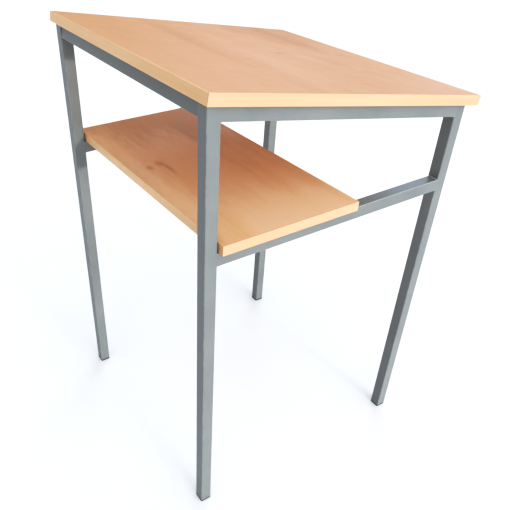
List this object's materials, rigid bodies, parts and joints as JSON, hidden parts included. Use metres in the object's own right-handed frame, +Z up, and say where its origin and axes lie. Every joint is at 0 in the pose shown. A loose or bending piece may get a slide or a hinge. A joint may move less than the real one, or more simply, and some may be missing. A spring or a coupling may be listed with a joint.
{
  "type": "lectern stand",
  "caption": "Free-standing lectern: welded square-tube frame with a sloping edged writing board and a half-depth book shelf beneath it.",
  "frame": {"origin": "on the floor, under the centre of the stand's bounding box", "axes": "+Z up; X across the board's width; -Y towards the audience, where the board's high edge is, and +Y towards the reader, where its low edge is"},
  "size_m": [0.6, 0.614, 0.9407],
  "materials": {
    "frame_paint": "satin grey powder coat with a fine orange peel",
    "foot_plastic": "matt black moulded polyethylene",
    "beech_laminate": "beech-effect laminate, satin, grain across the width",
    "edging": "pale beech-effect plastic edging, satin",
    "backing_sheet": "matt balancing sheet in a pale beech tone",
    "board_core": "raw board core",
    "screw_zinc": "bright zinc plating"
  },
  "bodies": {
    "root": {"leg_high_left": "frame_paint", "leg_high_right": "frame_paint", "leg_low_left": "frame_paint", "leg_low_right": "frame_paint", "cross_rail_high": "frame_paint", "cross_rail_low": "frame_paint", "side_rail_left": "frame_paint", "side_rail_right": "frame_paint", "shelf_rail_left": "frame_paint", "shelf_rail_right": "frame_paint", "foot_insert_high_left": "foot_plastic", "foot_insert_high_right": "foot_plastic", "foot_insert_low_left": "foot_plastic", "foot_insert_low_right": "foot_plastic", "top_core": "board_core", "top_laminate": "beech_laminate", "top_backing": "backing_sheet", "top_edging_high": "edging", "top_edging_low": "edging", "top_edging_left": "edging", "top_edging_right": "edging", "shelf_core": "board_core", "shelf_laminate": "beech_laminate", "shelf_backing": "backing_sheet", "shelf_edging_high": "edging", "shelf_edging_low": "edging", "shelf_edging_left": "edging", "shelf_edging_right": "edging", "top_screw_1": "screw_zinc", "top_screw_2": "screw_zinc", "top_screw_3": "screw_zinc", "top_screw_4": "screw_zinc", "top_screw_5": "screw_zinc", "top_screw_6": "screw_zinc", "top_screw_7": "screw_zinc", "top_screw_8": "screw_zinc", "shelf_screw_1": "screw_zinc", "shelf_screw_2": "screw_zinc", "shelf_screw_3": "screw_zinc", "shelf_screw_4": "screw_zinc"}
  },
  "joints": []
}
